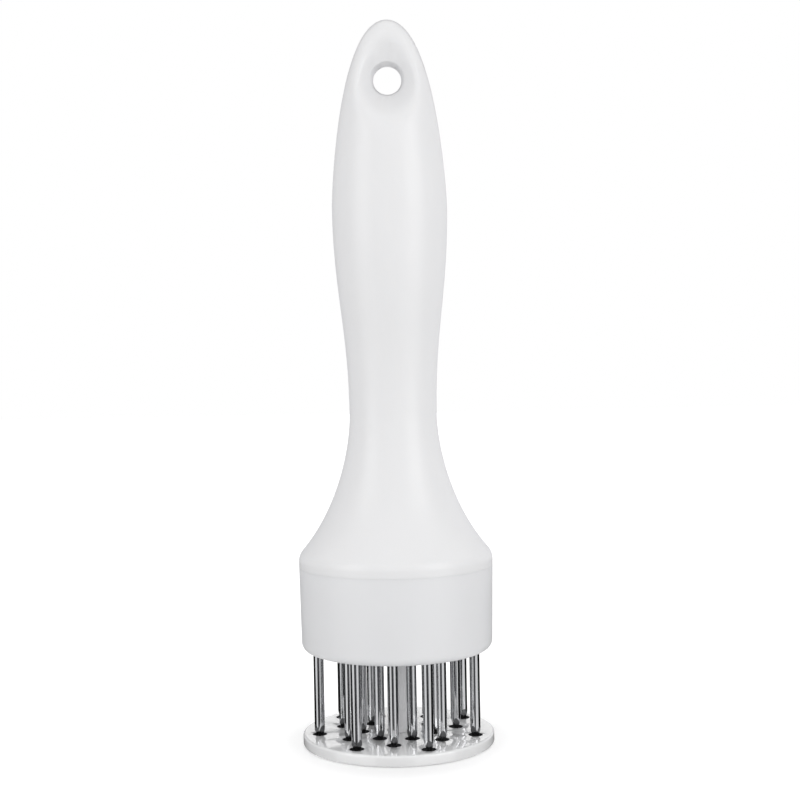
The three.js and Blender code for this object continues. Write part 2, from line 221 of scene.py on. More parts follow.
# %% [markdown]
# Polished steel only shows what is round it. Photographers stand black cards just outside the picture, and
# the steel gets its dark lines from them. The cards here are seen only in reflections, and they take no
# light from the tool. The needles are looked at from above, so they mirror what lies below the horizon, and
# their cards stand down there. The paler cards above are for the white plastic, whose outline would be lost
# on white paper without them. One more card hangs behind, high up, where the top of the dome mirrors it.

# %% Make the cards' tones
CARD_BLUE = 1.05


def card_look(name, tone):
    """A plain tone, a touch blue, that needs no light."""
    look = empty_look(name)
    flat = add_node(look.node_tree, "ShaderNodeEmission", {
        "Color": (tone, tone, tone * CARD_BLUE, 1), "Strength": 1})
    add_node(look.node_tree, "ShaderNodeOutputMaterial", {"Surface": flat.outputs[0]})
    return look


black_card = card_look("black_card", 0.015)
slate_card = card_look("slate_card", 0.12)
grey_card = card_look("grey_card", 0.4)
pale_card = card_look("pale_card", 0.65)
print("four card tones")

# %% Stand the cards
CARD_DISTANCE = 900 * MM
CARD_FOOT, CARD_SPLIT, CARD_TOP = -500 * MM, -80 * MM, 700 * MM
LOW_CARDS = {
    "low_front_left_card": (black_card, -28, -6),
    "low_front_right_card": (slate_card, -6, 18),
    "low_left_card": (black_card, -124, -80),
    "low_left_back_card": (black_card, -170, -124),
    "low_right_card": (black_card, 68, 122),
    "low_right_back_card": (black_card, 122, 170),
}
HIGH_CARDS = {
    "left_card": (grey_card, -124, -80),
    "left_back_card": (grey_card, -170, -124),
    "right_card": (grey_card, 74, 122),
    "right_back_card": (pale_card, 122, 170),
}


def add_card(name, look, place, turn, width, height):
    """Adds a flat card that nothing but reflections can see."""
    bpy.ops.object.select_all(action="DESELECT")
    bpy.ops.mesh.primitive_plane_add(size=1, rotation=turn, location=place)
    card = bpy.context.object
    card.name = name
    card.scale = (width, height, 1)
    card.data.materials.append(look)
    card.visible_camera = False
    card.visible_diffuse = False
    card.visible_transmission = False
    card.visible_volume_scatter = False
    card.visible_shadow = False


def stand_cards(cards, foot, top):
    """Stands each card across its range of azimuths, square to the middle of the range."""
    for name, (look, first, last) in cards.items():
        turn = math.radians((first + last) / 2)
        half = CARD_DISTANCE * math.tan(math.radians(last - first) / 2)
        place = (math.sin(turn) * CARD_DISTANCE, -math.cos(turn) * CARD_DISTANCE, (top + foot) / 2)
        add_card(name, look, place, (math.radians(90), 0, turn), 2 * half, top - foot)


stand_cards(LOW_CARDS, CARD_FOOT, CARD_SPLIT)
stand_cards(HIGH_CARDS, CARD_SPLIT, CARD_TOP)
add_card("high_back_card", slate_card, place=(0, 700 * MM, 620 * MM), turn=(math.radians(-53), 0, 0),
         width=900 * MM, height=700 * MM)
print(len(LOW_CARDS) + len(HIGH_CARDS) + 1, "cards")

# %% [markdown]
# ## Tools for turned pieces
# Nearly every piece here is round, as if it came off a lathe. Such a piece could be built from cylinders,
# but a drawn outline says its true shape at once. The outline is a Bezier curve: a few knots, with pulls
# where it bends. It becomes edges, and the spin tool turns them round the upright axis.

# %% Draw an outline
def arc_pull(angle):
    """How long the pulls of a round arc are, as a share of its radius."""
    return 4 / 3 * math.tan(angle / 4)


ROUND_PULL = arc_pull(math.radians(90))


def knots_of(corners):
    """Knots of an outline. A corner is (radius, height), and a third number rounds it off by that length."""
    knots = []
    for i, corner in enumerate(corners):
        here = Vector(corner[:2])
        if len(corner) == 2:
            knots.append((here, None, None))
            continue
        before = Vector(corners[i - 1][:2])
        after = Vector(corners[(i + 1) % len(corners)][:2])
        start = here + (before - here).normalized() * corner[2]
        end = here + (after - here).normalized() * corner[2]
        knots.append((start, None, start.lerp(here, ROUND_PULL)))
        knots.append((end, end.lerp(here, ROUND_PULL), None))
    return knots


def draw_outline(name, knots, steps, closed):
    """Draws the knots as a Bezier curve with x as the radius, and makes it a row of edges."""
    bpy.ops.object.select_all(action="DESELECT")
    bpy.ops.curve.primitive_bezier_curve_add()
    outline = bpy.context.object
    outline.name = name
    outline.data.resolution_u = steps
    spline = outline.data.splines[0]
    spline.bezier_points.add(len(knots) - 2)
    spline.use_cyclic_u = closed
    for point, (place, pull_in, pull_out) in zip(spline.bezier_points, knots):
        point.co = (place[0], 0, place[1])
        point.handle_left_type = "FREE" if pull_in else "VECTOR"
        point.handle_right_type = "FREE" if pull_out else "VECTOR"
        if pull_in:
            point.handle_left = (pull_in[0], 0, pull_in[1])
        if pull_out:
            point.handle_right = (pull_out[0], 0, pull_out[1])
    bpy.ops.object.convert(target="MESH")
    return bpy.context.object


print(f"a square corner is rounded with pulls of {ROUND_PULL:.3f} of its reach")

# %% Turn it round the axis
SIDES = 128
WELD = 0.002 * MM


def merge_doubles():
    """Merges the points of the mesh in edit mode that lie on one another."""
    bpy.ops.mesh.select_all(action="SELECT")
    bpy.ops.mesh.remove_doubles(threshold=WELD)


def turned(name, knots, steps=6, closed=False, sides=SIDES):
    """A solid of revolution. An open outline starts and ends on the axis, and a closed one makes a ring."""
    piece = draw_outline(name, knots, steps, closed)
    bpy.ops.object.mode_set(mode="EDIT")
    bpy.ops.mesh.select_all(action="SELECT")
    bpy.ops.mesh.spin(steps=sides, angle=2 * math.pi, center=(0, 0, 0), axis=(0, 0, 1))
    merge_doubles()
    bpy.ops.mesh.normals_make_consistent(inside=False)
    bpy.ops.object.mode_set(mode="OBJECT")
    return piece


print(f"{SIDES} sides on a large piece")

# %% [markdown]
# A hole is cut with a second shape, as with a cookie cutter. The boolean is applied at once, and the points
# that it leaves on one another are merged, so that the mesh stays clean.

# %% Cut and finish a piece
def pick(*pieces):
    """Selects these pieces and nothing else, and makes the first one active."""
    bpy.ops.object.select_all(action="DESELECT")
    for piece in pieces:
        piece.select_set(True)
    bpy.context.view_layer.objects.active = pieces[0]


def cut_away(piece, cutter):
    """Takes the cutter's shape out of the piece, and removes the cutter."""
    pick(piece)
    cut = piece.modifiers.new("cut", "BOOLEAN")
    cut.object = cutter
    cut.solver = "EXACT"
    bpy.ops.object.modifier_apply(modifier=cut.name)
    bpy.data.objects.remove(cutter)
    bpy.ops.object.mode_set(mode="EDIT")
    merge_doubles()
    bpy.ops.object.mode_set(mode="OBJECT")


def finish_piece(piece, body, slot, look, *nodes, sharp=30):
    """Shades the piece, gives it its finish, and says what body it rides on and what solids it replaces."""
    pick(piece)
    bpy.ops.object.transform_apply(location=True, rotation=True, scale=True)
    bpy.ops.object.shade_smooth_by_angle(angle=math.radians(sharp))
    piece.data.materials.clear()
    piece.data.materials.append(look)
    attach(piece, body)
    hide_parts(*nodes)
    print(f"{piece.name}: {len(piece.data.polygons)} faces")


def second_finish(piece, look, belongs):
    """Gives another finish to the faces that pass a test, and counts them."""
    piece.data.materials.append(look)
    chosen = [face for face in piece.data.polygons if belongs(face)]
    for face in chosen:
        face.material_index = len(piece.data.materials) - 1
    return len(chosen)


print(f"doubles closer than {WELD / MM} mm are merged")

# %% [markdown]
# ## Finishes
# Moulded plastic is never one flat colour. Its tone drifts a little where the melt flowed, and the mould
# leaves a very fine skin and slow ripples that soften each highlight. One node group gives all that to
# every plastic. Two of its steps are needed for steel too, so they are helpers: a pattern that darkens the
# tone, and a pattern that moves the roughness up and down. The scale of a noise counts its waves in a
# metre.

# %% Patterns for tone and roughness
FLOAT, COLOUR, VECTOR = "NodeSocketFloat", "NodeSocketColor", "NodeSocketVector"
NOISE_LOW, NOISE_HIGH = 0.3, 0.7


def new_group(name, inputs):
    """A shader node group that puts out a colour, a roughness and a normal, with its two end nodes."""
    group = bpy.data.node_groups.new(name, "ShaderNodeTree")
    for label, kind, value in inputs:
        socket = group.interface.new_socket(label, in_out="INPUT", socket_type=kind)
        socket.default_value = value
    for label, kind in (("Color", COLOUR), ("Roughness", FLOAT), ("Normal", VECTOR)):
        group.interface.new_socket(label, in_out="OUTPUT", socket_type=kind)
    return group, add_node(group, "NodeGroupInput"), add_node(group, "NodeGroupOutput")


def vary_tone(group, given, made, pattern, low=NOISE_LOW, high=NOISE_HIGH):
    """Darkens the tone by its drift where the pattern is low."""
    darkest = add_node(group, "ShaderNodeMath", {0: 1.0, 1: given.outputs["Tone Drift"]},
                       operation="SUBTRACT")
    shade = add_node(group, "ShaderNodeMapRange", {
        "Value": pattern.outputs[0], "From Min": low, "From Max": high,
        "To Min": darkest.outputs[0], "To Max": 1})
    toned = add_node(group, "ShaderNodeVectorMath", {0: given.outputs["Tone"], 1: shade.outputs[0]},
                     operation="MULTIPLY")
    group.links.new(toned.outputs[0], made.inputs["Color"])


def vary_roughness(group, given, made, pattern):
    """Moves the roughness down and up by its drift, as the pattern goes."""
    ends = {0: given.outputs["Roughness"], 1: given.outputs["Roughness Drift"]}
    smoothest = add_node(group, "ShaderNodeMath", ends, operation="SUBTRACT")
    roughest = add_node(group, "ShaderNodeMath", ends, operation="ADD")
    rubbed = add_node(group, "ShaderNodeMapRange", {
        "Value": pattern.outputs[0], "From Min": NOISE_LOW, "From Max": NOISE_HIGH,
        "To Min": smoothest.outputs[0], "To Max": roughest.outputs[0]})
    group.links.new(rubbed.outputs[0], made.inputs["Roughness"])


print(f"a noise from {NOISE_LOW} to {NOISE_HIGH} goes the whole way")

# %% The skin of moulded plastic
FLOW_WAVES, RUB_WAVES, RIPPLE_WAVES, GRAIN_WAVES = 38, 160, 120, 3200
RIPPLE_HEIGHT, GRAIN_HEIGHT = 0.03 * MM, 0.006 * MM

moulded, given, made = new_group("moulded_skin", [
    ("Tone", COLOUR, (0.8, 0.8, 0.8, 1)), ("Tone Drift", FLOAT, 0.02), ("Roughness", FLOAT, 0.3),
    ("Roughness Drift", FLOAT, 0.05), ("Ripple", FLOAT, 0.2), ("Grain", FLOAT, 0.1)])
where = add_node(moulded, "ShaderNodeTexCoord").outputs["Object"]
flow = add_node(moulded, "ShaderNodeTexNoise", {
    "Vector": where, "Scale": FLOW_WAVES, "Detail": 3, "Roughness": 0.55})
vary_tone(moulded, given, made, flow)
rub = add_node(moulded, "ShaderNodeTexNoise", {
    "Vector": where, "Scale": RUB_WAVES, "Detail": 4, "Roughness": 0.6})
vary_roughness(moulded, given, made, rub)
ripple = add_node(moulded, "ShaderNodeTexNoise", {"Vector": where, "Scale": RIPPLE_WAVES, "Detail": 2})
slow = add_node(moulded, "ShaderNodeBump", {
    "Strength": given.outputs["Ripple"], "Distance": RIPPLE_HEIGHT, "Height": ripple.outputs[0]})
grain = add_node(moulded, "ShaderNodeTexNoise", {"Vector": where, "Scale": GRAIN_WAVES, "Detail": 2})
fine = add_node(moulded, "ShaderNodeBump", {
    "Strength": given.outputs["Grain"], "Distance": GRAIN_HEIGHT, "Height": grain.outputs[0],
    "Normal": slow.outputs[0]})
moulded.links.new(fine.outputs[0], made.inputs["Normal"])
print("group:", moulded.name)

# %% [markdown]
# Steel wire is pulled through a die, which leaves fine lines along it. Stamped sheet has rougher lines. The
# second group draws such lines along the upright axis, by stretching a fine noise, and it breaks the polish
# up a little with slower smudges.

# %% The lines of drawn steel
LINE_WAVES, SMUDGE_WAVES = 5200, 420
LINE_STRETCH = (1, 1, 0.03)
LINES_LOW, LINES_HIGH = 0.35, 0.65
LINE_DEPTH = 0.004 * MM

drawn, given, made = new_group("drawn_lines", [
    ("Tone", COLOUR, (0.7, 0.7, 0.7, 1)), ("Tone Drift", FLOAT, 0.1), ("Roughness", FLOAT, 0.15),
    ("Roughness Drift", FLOAT, 0.05), ("Lines", FLOAT, 0.2)])
where = add_node(drawn, "ShaderNodeTexCoord").outputs["Object"]
along = add_node(drawn, "ShaderNodeMapping", {"Vector": where, "Scale": LINE_STRETCH})
lines = add_node(drawn, "ShaderNodeTexNoise", {
    "Vector": along.outputs[0], "Scale": LINE_WAVES, "Detail": 3})
vary_tone(drawn, given, made, lines, LINES_LOW, LINES_HIGH)
smudge = add_node(drawn, "ShaderNodeTexNoise", {"Vector": where, "Scale": SMUDGE_WAVES, "Detail": 3})
vary_roughness(drawn, given, made, smudge)
scored = add_node(drawn, "ShaderNodeBump", {
    "Strength": given.outputs["Lines"], "Distance": LINE_DEPTH, "Height": lines.outputs[0]})
drawn.links.new(scored.outputs[0], made.inputs["Normal"])
print("group:", drawn.name)

# %% [markdown]
# The handle and the cup are two mouldings of one white plastic, and the cup is a touch greyer. A little
# light goes into both and comes out warmer. The guard plate is so milky that only a tenth of it is
# see-through. The rest is light that wanders about inside, under a polished coat that bends light as
# polycarbonate does. The walls of its holes are painted nearly black, as painted shade for the shade that
# each needle throws into its hole. The plate's outer edge is duller than its faces.

# %% Mix the plastics
def finish_from(name, group, values, constants):
    """A material: a Principled shader fed by a group. The constants are set on the shader's own sockets."""
    look = empty_look(name)
    skin = add_node(look.node_tree, "ShaderNodeGroup", node_tree=group)
    for key, value in values.items():
        skin.inputs[key].default_value = value
    shader = add_node(look.node_tree, "ShaderNodeBsdfPrincipled", {
        "Base Color": skin.outputs["Color"], "Roughness": skin.outputs["Roughness"],
        "Normal": skin.outputs["Normal"], **constants})
    add_node(look.node_tree, "ShaderNodeOutputMaterial", {"Surface": shader.outputs[0]})
    return look


WHITE_SKIN = {"Tone Drift": 0.02, "Roughness Drift": 0.04, "Ripple": 0.3, "Grain": 0.12}
WHITE_DEPTH = {"Subsurface Weight": 0.15, "Subsurface Scale": 2 * MM, "Subsurface Radius": (1, 0.95, 0.9)}
POLYCARBONATE = {"IOR": 1.59, "Coat IOR": 1.59, "Subsurface Radius": (1, 1, 1)}

white_plastic = finish_from("white_moulded_plastic", moulded, {
    **WHITE_SKIN, "Tone": (0.80, 0.80, 0.808, 1), "Roughness": 0.33}, WHITE_DEPTH)
cup_plastic = finish_from("white_cup_plastic", moulded, {
    **WHITE_SKIN, "Tone": (0.765, 0.768, 0.78, 1), "Roughness": 0.36}, WHITE_DEPTH)
grey_plastic = finish_from("pale_grey_plastic", moulded, {
    "Tone": (0.92, 0.92, 0.93, 1), "Tone Drift": 0.05, "Roughness": 0.3, "Roughness Drift": 0.06,
    "Ripple": 0.2, "Grain": 0.3}, {})
clear_plastic = finish_from("milky_clear_plastic", moulded, {
    "Tone": (0.985, 0.986, 0.99, 1), "Tone Drift": 0.01, "Roughness": 0.12, "Roughness Drift": 0.04,
    "Ripple": 0.12, "Grain": 0.03}, {
    **POLYCARBONATE, "Transmission Weight": 0.1, "Coat Weight": 1.0, "Coat Roughness": 0.03,
    "Subsurface Weight": 0.8, "Subsurface Scale": 4 * MM})
edge_plastic = finish_from("moulded_clear_edge", moulded, {
    "Tone": (0.93, 0.932, 0.94, 1), "Tone Drift": 0.015, "Roughness": 0.22, "Roughness Drift": 0.05,
    "Ripple": 0.3, "Grain": 0.1}, {
    **POLYCARBONATE, "Transmission Weight": 0.12, "Coat Weight": 0.6, "Coat Roughness": 0.08,
    "Subsurface Weight": 0.5, "Subsurface Scale": 2 * MM})
# Painted shade: the bore walls get a nearly black tone for the shade of the needles in them.
bore_painted_shade = finish_from("bore_wall_painted_shade", moulded, {
    "Tone": (0.05, 0.05, 0.053, 1), "Tone Drift": 0.3, "Roughness": 0.5, "Roughness Drift": 0.1,
    "Ripple": 0.2, "Grain": 0.6}, {})
print("plastics:", white_plastic.name, clear_plastic.name)

# %% [markdown]
# The needles are polished, with next to no lines. Their points are freshly ground, and so they are rougher.
# The flats of the points are also painted dark, as painted shade for the shade they stand in, in the
# guard's holes. Washers, screws and the spring are plain steel with clear lines.

# %% Mix the steels
METAL = {"Metallic": 1.0}

needle_steel = finish_from("polished_needle_steel", drawn, {
    "Tone": (0.6, 0.606, 0.62, 1), "Tone Drift": 0.06, "Roughness": 0.1, "Roughness Drift": 0.03,
    "Lines": 0.02}, METAL)
# Painted shade: the dark tone of the points stands in for shade; their extra roughness is real.
point_steel_painted_shade = finish_from("ground_point_painted_shade", drawn, {
    "Tone": (0.17, 0.172, 0.178, 1), "Tone Drift": 0.2, "Roughness": 0.24, "Roughness Drift": 0.06,
    "Lines": 0.4}, METAL)
plain_steel = finish_from("stamped_steel", drawn, {
    "Tone": (0.62, 0.63, 0.65, 1), "Tone Drift": 0.15, "Roughness": 0.3, "Roughness Drift": 0.08,
    "Lines": 0.8}, METAL)
spring_steel = finish_from("spring_wire_steel", drawn, {
    "Tone": (0.55, 0.56, 0.58, 1), "Tone Drift": 0.15, "Roughness": 0.24, "Roughness Drift": 0.06,
    "Lines": 0.3}, METAL)
print(len(bpy.data.materials), "materials")

# %% [markdown]
# ## The handle
# The handle is one moulding: a domed tip, a swelling grip, a narrow neck, and a flare that rolls over into
# the shoulder. Four knots with long pulls give that flowing side. Each pull is a share of the length that
# it bends. Below the shoulder the outline turns in, and a skirt goes down into the cup. A tube for the
# spring stands in the middle, with a blind core above it.

# %% Draw the outside
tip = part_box("handle")[1].z
skirt_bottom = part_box("handle")[0].z
cup_low, cup_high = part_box("head_cup")
HEAD_RADIUS = cup_high.x
SEAM_GAP = 0.005 * MM
SEAM_EDGE = 0.015 * MM
seam = cup_high.z + SEAM_GAP

TIP_PULL = 0.84
GRIP_RADIUS, GRIP_HEIGHT = 15.5 * MM, tip - 50.2 * MM
GRIP_PULL_UP, GRIP_PULL_DOWN = 0.093, 0.407
NECK_RADIUS, NECK_HEIGHT = 11.8 * MM, 89.7 * MM
NECK_PULL_UP, NECK_PULL_DOWN = 0.423, 0.249
FLARE_ANGLE = math.radians(40.5)
FLARE_PULL_UP = 0.42
SHOULDER_ROUND = 4 * MM
SHOULDER_BAND = 1.6 * MM


def handle_side():
    """The outside, from the tip down to the seam."""
    dome, waist = tip - GRIP_HEIGHT, GRIP_HEIGHT - NECK_HEIGHT
    centre = Vector((HEAD_RADIUS - SHOULDER_ROUND, seam + SHOULDER_BAND))
    outward = Vector((math.cos(FLARE_ANGLE), math.sin(FLARE_ANGLE)))
    downward = Vector((math.sin(FLARE_ANGLE), -math.cos(FLARE_ANGLE)))
    flare_end = centre + outward * SHOULDER_ROUND
    flare = NECK_HEIGHT - flare_end.y
    shoulder_pull = arc_pull(FLARE_ANGLE) * SHOULDER_ROUND
    band_top = Vector((HEAD_RADIUS, centre.y))
    return [
        (Vector((0, tip)), None, Vector((TIP_PULL * GRIP_RADIUS, tip))),
        (Vector((GRIP_RADIUS, GRIP_HEIGHT)),
         Vector((GRIP_RADIUS, GRIP_HEIGHT + GRIP_PULL_UP * dome)),
         Vector((GRIP_RADIUS, GRIP_HEIGHT - GRIP_PULL_DOWN * waist))),
        (Vector((NECK_RADIUS, NECK_HEIGHT)),
         Vector((NECK_RADIUS, NECK_HEIGHT + NECK_PULL_UP * waist)),
         Vector((NECK_RADIUS, NECK_HEIGHT - NECK_PULL_DOWN * flare))),
        (flare_end, flare_end - downward * FLARE_PULL_UP * flare, flare_end + downward * shoulder_pull),
        (band_top, band_top + Vector((0, shoulder_pull)), None),
    ]


print(f"grip {2 * GRIP_RADIUS / MM:.1f} mm thick, neck {2 * NECK_RADIUS / MM:.1f} mm")

# %% Draw the inside and turn the handle
SKIRT_RADIUS, SKIRT_BORE, SKIRT_ROUND = 23.5 * MM, 21.3 * MM, 0.4 * MM
TUBE_RADIUS, SPRING_BORE, TUBE_ROUND = 10 * MM, 8.2 * MM, 0.3 * MM
TUBE_SHORTER = 1 * MM
ROOF_OVER_SEAM, ROOF_AT_TUBE = 1.5 * MM, 72 * MM
INNER_ROUND = 1 * MM
LEDGE_HEIGHT = 82 * MM
CORE_FOOT_RADIUS, CORE_HEAD_RADIUS = 6.4 * MM, 5.6 * MM
CORE_HEAD_HEIGHT, CORE_TIP = 155 * MM, 158 * MM


def handle_core():
    """The inside, from the seam down the skirt, up the spring's tube and to the top of the core."""
    tube_bottom = skirt_bottom + TUBE_SHORTER
    return knots_of([
        (HEAD_RADIUS, seam, SEAM_EDGE), (SKIRT_RADIUS, seam), (SKIRT_RADIUS, skirt_bottom, SKIRT_ROUND),
        (SKIRT_BORE, skirt_bottom, SKIRT_ROUND), (SKIRT_BORE, seam + ROOF_OVER_SEAM, INNER_ROUND),
        (TUBE_RADIUS, ROOF_AT_TUBE, INNER_ROUND), (TUBE_RADIUS, tube_bottom, TUBE_ROUND),
        (SPRING_BORE, tube_bottom, TUBE_ROUND), (SPRING_BORE, LEDGE_HEIGHT),
        (CORE_FOOT_RADIUS, LEDGE_HEIGHT), (CORE_HEAD_RADIUS, CORE_HEAD_HEIGHT, INNER_ROUND), (0, CORE_TIP),
    ])


handle = turned("white_handle", handle_side() + handle_core(), steps=40)
print(f"{handle.name}: {len(handle.data.vertices)} points")

# %% [markdown]
# The hanging hole is a short bore with a slight waist, and on each face it lies in a soft dish. A cut dish
# would leave a knife edge all round. So the side is pressed in instead: each point near the hole stands
# where the side or the dish is lower, and a soft minimum of the two rolls the edge over. The mesh is made
# finer there first. Above the hole the dome leans back anyway, so the dish eases off there, and the tip
# narrows evenly when seen from the side.

# %% Press the dishes in
HOLE_HEIGHT = tip - 16.2 * MM
RIM_RADIUS = 4.45 * MM
RIM_REACH = 3.6 * MM
DISH_SLOPE = 1.3
DISH_BLEND = 1.3 * MM
TOP_EASE = 0.65
FINE_REACH = 14 * MM
ABOVE_CORE = 160 * MM


def from_hole(place):
    """The distance from the middle line of the hole."""
    return math.hypot(place.x, place.z - HOLE_HEIGHT)


def eased(rise, across, up):
    """A height over the rim of the hole, made less in the directions above the hole."""
    if up <= 0:
        return rise
    return rise * (1 - TOP_EASE * up * up / (across * across + up * up))


bpy.ops.object.mode_set(mode="EDIT")
mesh = bmesh.from_edit_mesh(handle.data)
for point in mesh.verts:
    point.select = point.co.z > ABOVE_CORE and from_hole(point.co) < FINE_REACH
mesh.select_flush_mode()
bmesh.update_edit_mesh(handle.data)
bpy.ops.mesh.subdivide(number_cuts=2, smoothness=1)
bpy.ops.object.mode_set(mode="OBJECT")
pressed = 0
for point in handle.data.vertices:
    if point.co.z > ABOVE_CORE:
        rise = (from_hole(point.co) - RIM_RADIUS) * DISH_SLOPE
        dish = RIM_REACH + eased(rise, point.co.x, point.co.z - HOLE_HEIGHT)
        side = abs(point.co.y)
        soft = min(side, dish) - DISH_BLEND * math.log1p(math.exp(-abs(side - dish) / DISH_BLEND))
        point.co.y = math.copysign(max(soft, 0), point.co.y)
        pressed += side - soft > WELD
print(f"{pressed} points pressed in")

# %% Cut the bore
WAIST_RADIUS = 3.66 * MM
WAIST_ROUND, RIM_ROUND = 1 * MM, 1 * MM
AIR_RADIUS, AIR_REACH = 11.5 * MM, 16 * MM

bore = turned("bore", knots_of([
    (0, -AIR_REACH), (AIR_RADIUS, -AIR_REACH), (RIM_RADIUS, -RIM_REACH, RIM_ROUND),
    (WAIST_RADIUS, 0, WAIST_ROUND), (RIM_RADIUS, RIM_REACH, RIM_ROUND), (AIR_RADIUS, AIR_REACH),
    (0, AIR_REACH),
]), steps=16, sides=96)
for point in bore.data.vertices:
    rise = abs(point.co.z) - RIM_REACH
    if rise > 0:
        point.co.z = math.copysign(RIM_REACH + eased(rise, point.co.x, point.co.y), point.co.z)
bore.rotation_euler = (math.radians(90), 0, 0)
bore.location = (0, 0, HOLE_HEIGHT)
cut_away(handle, bore)
print(f"{handle.name}: {len(handle.data.vertices)} points with its hole")
finish_piece(handle, "head", "white_plastic", white_plastic, "handle")

# %% [markdown]
# ## The cup
# The cup closes the head from below. Its wall leans in very slightly, so that it could leave the mould, and
# its lower edge is well rounded. The floor has a hole for each needle and one for the post. They are cut
# all at once with one joined cutter.

# %% Turn the cup
cup_bottom = cup_low.z
CUP_DRAFT = 0.4 * MM
CUP_BORE = 23.8 * MM
CUP_FLOOR = 3 * MM
BOTTOM_ROUND, BORE_ROUND, RIM_EDGE = 2.4 * MM, 0.5 * MM, 0.2 * MM

cup = turned("white_cup", knots_of([
    (0, cup_bottom), (HEAD_RADIUS - CUP_DRAFT, cup_bottom, BOTTOM_ROUND),
    (HEAD_RADIUS, cup_high.z, SEAM_EDGE), (CUP_BORE, cup_high.z, RIM_EDGE),
    (CUP_BORE, cup_bottom + CUP_FLOOR, BORE_ROUND), (0, cup_bottom + CUP_FLOOR),
]), steps=10)
print(f"{cup.name}: {(cup_high.z - cup_bottom) / MM:.1f} mm high")

# %% Drill the needles' holes
needle_names = sorted(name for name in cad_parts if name.startswith("needle_") and name[-1].isdigit())
needle_places = [(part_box(name)[0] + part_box(name)[1]) / 2 for name in needle_names]
NEEDLE_RADIUS = 1.375 * MM
POST_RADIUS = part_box("guard_post")[1].x
NEEDLE_GAP, POST_GAP = 0.3 * MM, 0.4 * MM
CUP_LIP = 0.15 * MM


def hole_bars(radius, bottom, top, lip, centre_radius):
    """One cutter: a round bar at each needle and in the middle, which widens at both faces by a lip."""
    bars = []
    for i, place in enumerate([*needle_places, Vector((0, 0, 0))]):
        size = radius if i < len(needle_places) else centre_radius
        bar = turned("bar", [
            (Vector((0, bottom - lip)), None, None),
            (Vector((size + 2 * lip, bottom - lip)), None, None),
            (Vector((size + lip, bottom)), None, Vector((size + lip * (1 - ROUND_PULL), bottom))),
            (Vector((size, bottom + lip)), Vector((size, bottom + lip * (1 - ROUND_PULL))), None),
            (Vector((size, top - lip)), None, Vector((size, top - lip * (1 - ROUND_PULL)))),
            (Vector((size + lip, top)), Vector((size + lip * (1 - ROUND_PULL), top)), None),
            (Vector((size + 2 * lip, top + lip)), None, None),
            (Vector((0, top + lip)), None, None),
        ], steps=4, sides=40)
        bar.location = (place.x, place.y, 0)
        bars.append(bar)
    pick(*bars)
    bpy.ops.object.transform_apply(location=True, rotation=True, scale=True)
    bpy.ops.object.join()
    return bpy.context.object


cut_away(cup, hole_bars(NEEDLE_RADIUS + NEEDLE_GAP, cup_bottom, cup_bottom + CUP_FLOOR, CUP_LIP,
                        POST_RADIUS + POST_GAP))
print(len(needle_places), "needles and a post go through the cup's floor")
finish_piece(cup, "head", "white_plastic", cup_plastic, "head_cup")

# %% [markdown]
# ## The guard plate
# A thick disc of milky clear plastic, polished on both faces, with rounded edges. The holes have soft lips,
# because the mould's pins had them. A countersink below takes the middle screw, and a socket above takes
# the post. Each cutter reaches a little past the face that it opens, so that no thin skin is left there.

# %% Turn the guard plate
disc_low, disc_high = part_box("guard_disc")
DISC_ROUND = 0.6 * MM
GUARD_HOLE = NEEDLE_RADIUS + 0.475 * MM
GUARD_LIP = 0.2 * MM
SCREW_HOLE = 1.65 * MM
SOCKET_RADIUS, SOCKET_FLOOR = POST_RADIUS + 0.25 * MM, 2 * MM
SINK_RADIUS, SINK_RIM, SINK_DEPTH = 3.05 * MM, 0.2 * MM, 1.6 * MM
PAST_FACE = 1 * MM

disc = turned("clear_guard", knots_of([
    (0, disc_low.z), (disc_high.x, disc_low.z, DISC_ROUND), (disc_high.x, disc_high.z, DISC_ROUND),
    (0, disc_high.z),
]), steps=6, sides=160)
cut_away(disc, hole_bars(GUARD_HOLE, disc_low.z, disc_high.z, GUARD_LIP, SCREW_HOLE))
socket = turned("socket", knots_of([
    (0, SOCKET_FLOOR), (SOCKET_RADIUS, SOCKET_FLOOR), (SOCKET_RADIUS, disc_high.z + PAST_FACE),
    (0, disc_high.z + PAST_FACE),
]), sides=64)
cut_away(disc, socket)
countersink = turned("countersink", knots_of([
    (0, -PAST_FACE), (SINK_RADIUS, -PAST_FACE), (SINK_RADIUS, SINK_RIM), (SCREW_HOLE, SINK_DEPTH),
    (0, SINK_DEPTH),
]), sides=64)
cut_away(disc, countersink)
finish_piece(disc, "guard", "clear_plastic", clear_plastic, "guard_disc")

# %% Paint shade into the bores and dull the edge
BORE_REACH = GUARD_HOLE + GUARD_LIP
FLAT_FACE = 0.9


def in_a_bore(face):
    """Whether a face of the plate lies on the wall or on the lips of a needle's hole."""
    nearest = min((face.center.xy - place.xy).length for place in needle_places)
    return abs(face.normal.z) < FLAT_FACE and nearest < BORE_REACH


def at_the_edge(face):
    """Whether a face of the plate lies on its outer wall or its rounded edges."""
    return face.center.xy.length > disc_high.x - DISC_ROUND and abs(face.normal.z) < FLAT_FACE


print(second_finish(disc, bore_painted_shade, in_a_bore), "faces in the bores")
print(second_finish(disc, edge_plastic, at_the_edge), "faces at the edge")

# %% [markdown]
# ## The needles
# Each needle is like a nail that stands on its point: a flat head inside the cup, a straight polished body,
# and a point ground with four flats. One needle is turned, and four cuts grind it. Then it is copied to
# each place. No two flats line up, because nobody turned the needles to match.

# %% Turn and grind one needle
needle_low, needle_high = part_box(needle_names[0])
HEAD_HEIGHT, HEAD_LIP = 1.4 * MM, 0.525 * MM
HEAD_EDGE, HEAD_CROWN = 0.2 * MM, 0.4 * MM
POINT_ANGLE = math.radians(15)

